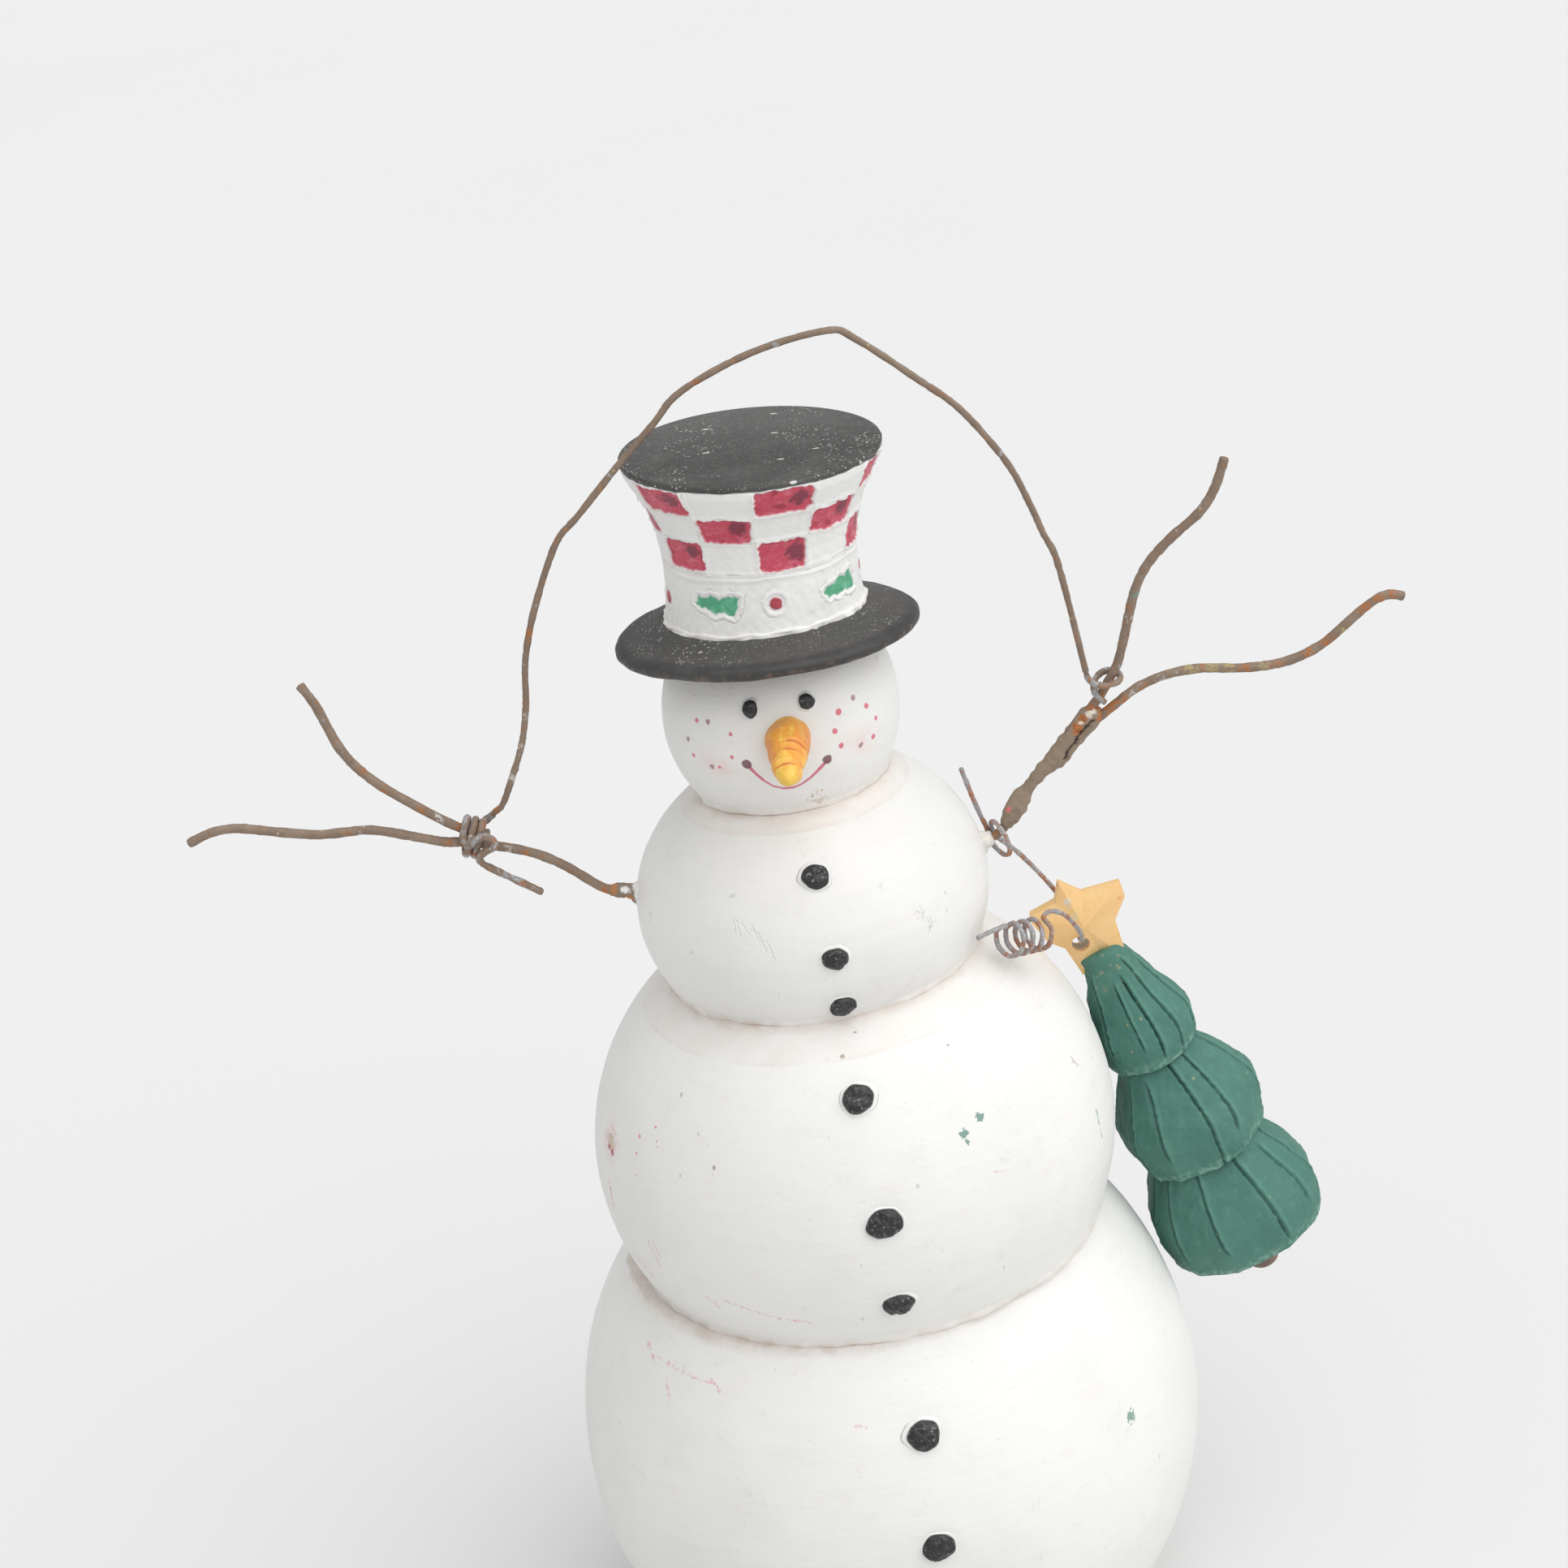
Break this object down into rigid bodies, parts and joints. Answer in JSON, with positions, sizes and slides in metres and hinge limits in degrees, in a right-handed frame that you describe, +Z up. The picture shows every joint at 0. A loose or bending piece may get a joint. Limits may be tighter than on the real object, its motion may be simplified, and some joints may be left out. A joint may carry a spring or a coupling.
{
  "type": "snowman figure",
  "caption": "Turned snowman of stacked balls with a flared top hat, wire arms, a swinging wire handle and a small tree hung from one arm.",
  "frame": {"origin": "on the flat of the foot, under the common axis of the belly, chest and head", "axes": "+Z up; the face looks along -Y; +X is towards the arm that the tree hangs on"},
  "size_m": [0.244, 0.1335, 0.2938],
  "materials": {
    "white_paint": "matt off-white gesso and paint over turned wood, with faint brush strokes",
    "bare_timber": "plain unpainted hardwood dowel",
    "black_paint": "matt black paint, dusty",
    "hat_paint": "white gesso with painted red squares, holly leaves and berries",
    "carrot_paint": "satin orange paint, shaded",
    "coal": "black paint over cast nuggets, lightly worn",
    "brown_wire": "brown-grey paint over steel wire, with rust spots",
    "bare_wire": "dull galvanised wire with rust",
    "putty": "hard putty painted as the wire, chipped and rusty",
    "star_paint": "matt peach-orange paint with small chips",
    "green_paint": "matt green paint, darker in the carved grooves",
    "bark_paint": "matt brown paint"
  },
  "bodies": {
    "snowman": {"base_ball": "white_paint", "belly_ball": "white_paint", "chest_ball": "white_paint", "head_ball": "white_paint", "base_dowel": "bare_timber", "chest_dowel": "bare_timber", "head_dowel": "bare_timber", "hat_peg": "bare_timber", "hat_brim": "black_paint", "hat_crown": "hat_paint", "carrot_nose": "carrot_paint", "left_eye": "coal", "right_eye": "coal", "coal_button_1": "coal", "coal_button_2": "coal", "coal_button_3": "coal", "coal_button_4": "coal", "coal_button_5": "coal", "coal_button_6": "coal", "coal_button_7": "coal", "coal_button_8": "coal", "coal_button_9": "coal", "left_arm_wire": "brown_wire", "left_finger_wire": "brown_wire", "left_arm_collar": "putty", "left_knot": "bare_wire", "right_arm_wire": "brown_wire", "right_finger_wire": "brown_wire", "right_arm_lower_putty": "putty", "right_arm_fork_putty": "putty", "right_arm_collar": "putty", "right_knot": "bare_wire"},
    "handle": {"handle_bail": "brown_wire"},
    "hanger": {"hanger_wire": "bare_wire"},
    "tree": {"star": "star_paint", "tree_boughs": "green_paint", "tree_trunk": "bark_paint"}
  },
  "joints": [
    {"name": "handle_swing", "type": "hinge", "parent": "snowman", "child": "handle", "pos_m": [-0.0589, -0.0004, 0.2056], "axis": [0.9969, -0.0219, 0.0756], "range_deg": [-30, 30]},
    {"name": "hanger_swing", "type": "hinge", "parent": "snowman", "child": "hanger", "pos_m": [0.0389, 0, 0.182], "axis": [0.7549, 0, 0.6559], "range_deg": [0, 25]},
    {"name": "tree_swing", "type": "hinge", "parent": "hanger", "child": "tree", "pos_m": [0.0528, 0.012, 0.1501], "axis": [0, -1, 0], "range_deg": [0, 18]}
  ]
}
